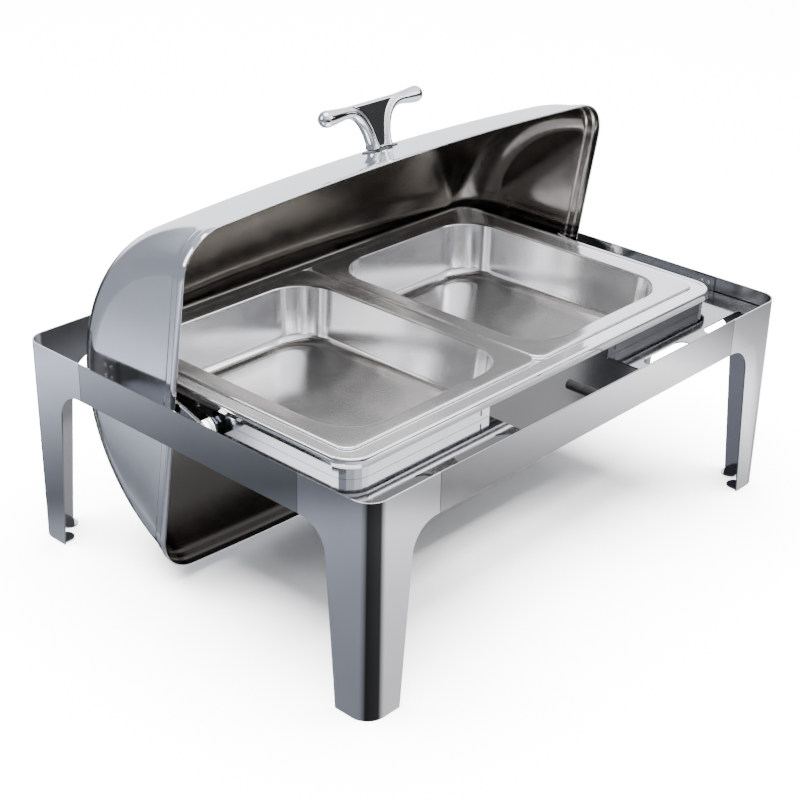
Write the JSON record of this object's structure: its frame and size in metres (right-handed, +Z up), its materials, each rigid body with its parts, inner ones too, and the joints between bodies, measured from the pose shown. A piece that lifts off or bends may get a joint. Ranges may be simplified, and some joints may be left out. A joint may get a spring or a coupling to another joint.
{
  "type": "roll top chafer",
  "caption": "Rectangular polished steel roll top chafer: an open frame on flared legs, a water pan with half-size food pans, and a barrel lid rolled back about end pivots.",
  "frame": {"origin": "on the surface the feet stand on, under the middle of the frame", "axes": "+X along the long side, parallel to the lid's shafts; +Y from the guest side towards the back, where the open lid is stowed; +Z up"},
  "size_m": [0.63, 0.476, 0.438],
  "materials": {
    "frame_steel": "mirror polished",
    "support_steel": "polished",
    "pan_steel": "satin polished",
    "food_pan_steel": "satin polished",
    "lid_steel": "mirror polished",
    "fastener_steel": "bright",
    "chrome": "mirror plated",
    "black_rubber": "matte",
    "gasket": "matte",
    "white_nylon": "satin"
  },
  "bodies": {
    "frame": {"leg_front_left": "frame_steel", "leg_front_right": "frame_steel", "leg_back_left": "frame_steel", "leg_back_right": "frame_steel", "rail_front": "frame_steel", "rail_back": "frame_steel", "rail_left": "frame_steel", "rail_right": "frame_steel", "joint_plate_front_left": "frame_steel", "joint_plate_front_right": "frame_steel", "joint_plate_back_left": "frame_steel", "joint_plate_back_right": "frame_steel", "joint_plate_left_front": "frame_steel", "joint_plate_left_back": "frame_steel", "joint_plate_right_front": "frame_steel", "joint_plate_right_back": "frame_steel", "bumper_pin": "fastener_steel", "bumper_sleeve": "black_rubber", "pan_collar_left": "support_steel", "support_shelf_left": "support_steel", "pan_collar_right": "support_steel", "support_shelf_right": "support_steel", "pivot_bracket_left": "support_steel", "pivot_bracket_right": "support_steel", "pivot_bush_left": "white_nylon", "pivot_bush_right": "white_nylon", "pivot_shaft_left": "chrome", "pivot_shaft_right": "chrome", "pivot_nut_left": "chrome", "pivot_nut_right": "chrome"},
    "lid": {"lid_shell": "lid_steel", "lid_lug_left": "chrome", "lid_lug_right": "chrome", "lug_rivet_left_lower": "fastener_steel", "lug_rivet_left_upper": "fastener_steel", "lug_rivet_right_lower": "fastener_steel", "lug_rivet_right_upper": "fastener_steel", "lid_handle": "chrome", "handle_gasket": "gasket", "handle_screw_left": "fastener_steel", "handle_screw_right": "fastener_steel"},
    "water_pan": {"water_pan": "pan_steel"},
    "food_pan_left": {"food_pan_left": "food_pan_steel"},
    "food_pan_right": {"food_pan_right": "food_pan_steel"}
  },
  "joints": [
    {"name": "lid_roll", "type": "hinge", "parent": "frame", "child": "lid", "pos_m": [0, -0.002, 0.2], "axis": [1, 0, 0], "range_deg": [0, 83.5]},
    {"name": "water_pan_lift", "type": "slide", "parent": "frame", "child": "water_pan", "axis": [0, 0, 1], "range_m": [0, 0.008]},
    {"name": "food_pan_left_lift", "type": "slide", "parent": "water_pan", "child": "food_pan_left", "axis": [0, 0, 1], "range_m": [0, 0.035]},
    {"name": "food_pan_right_lift", "type": "slide", "parent": "water_pan", "child": "food_pan_right", "axis": [0, 0, 1], "range_m": [0, 0.035]}
  ]
}
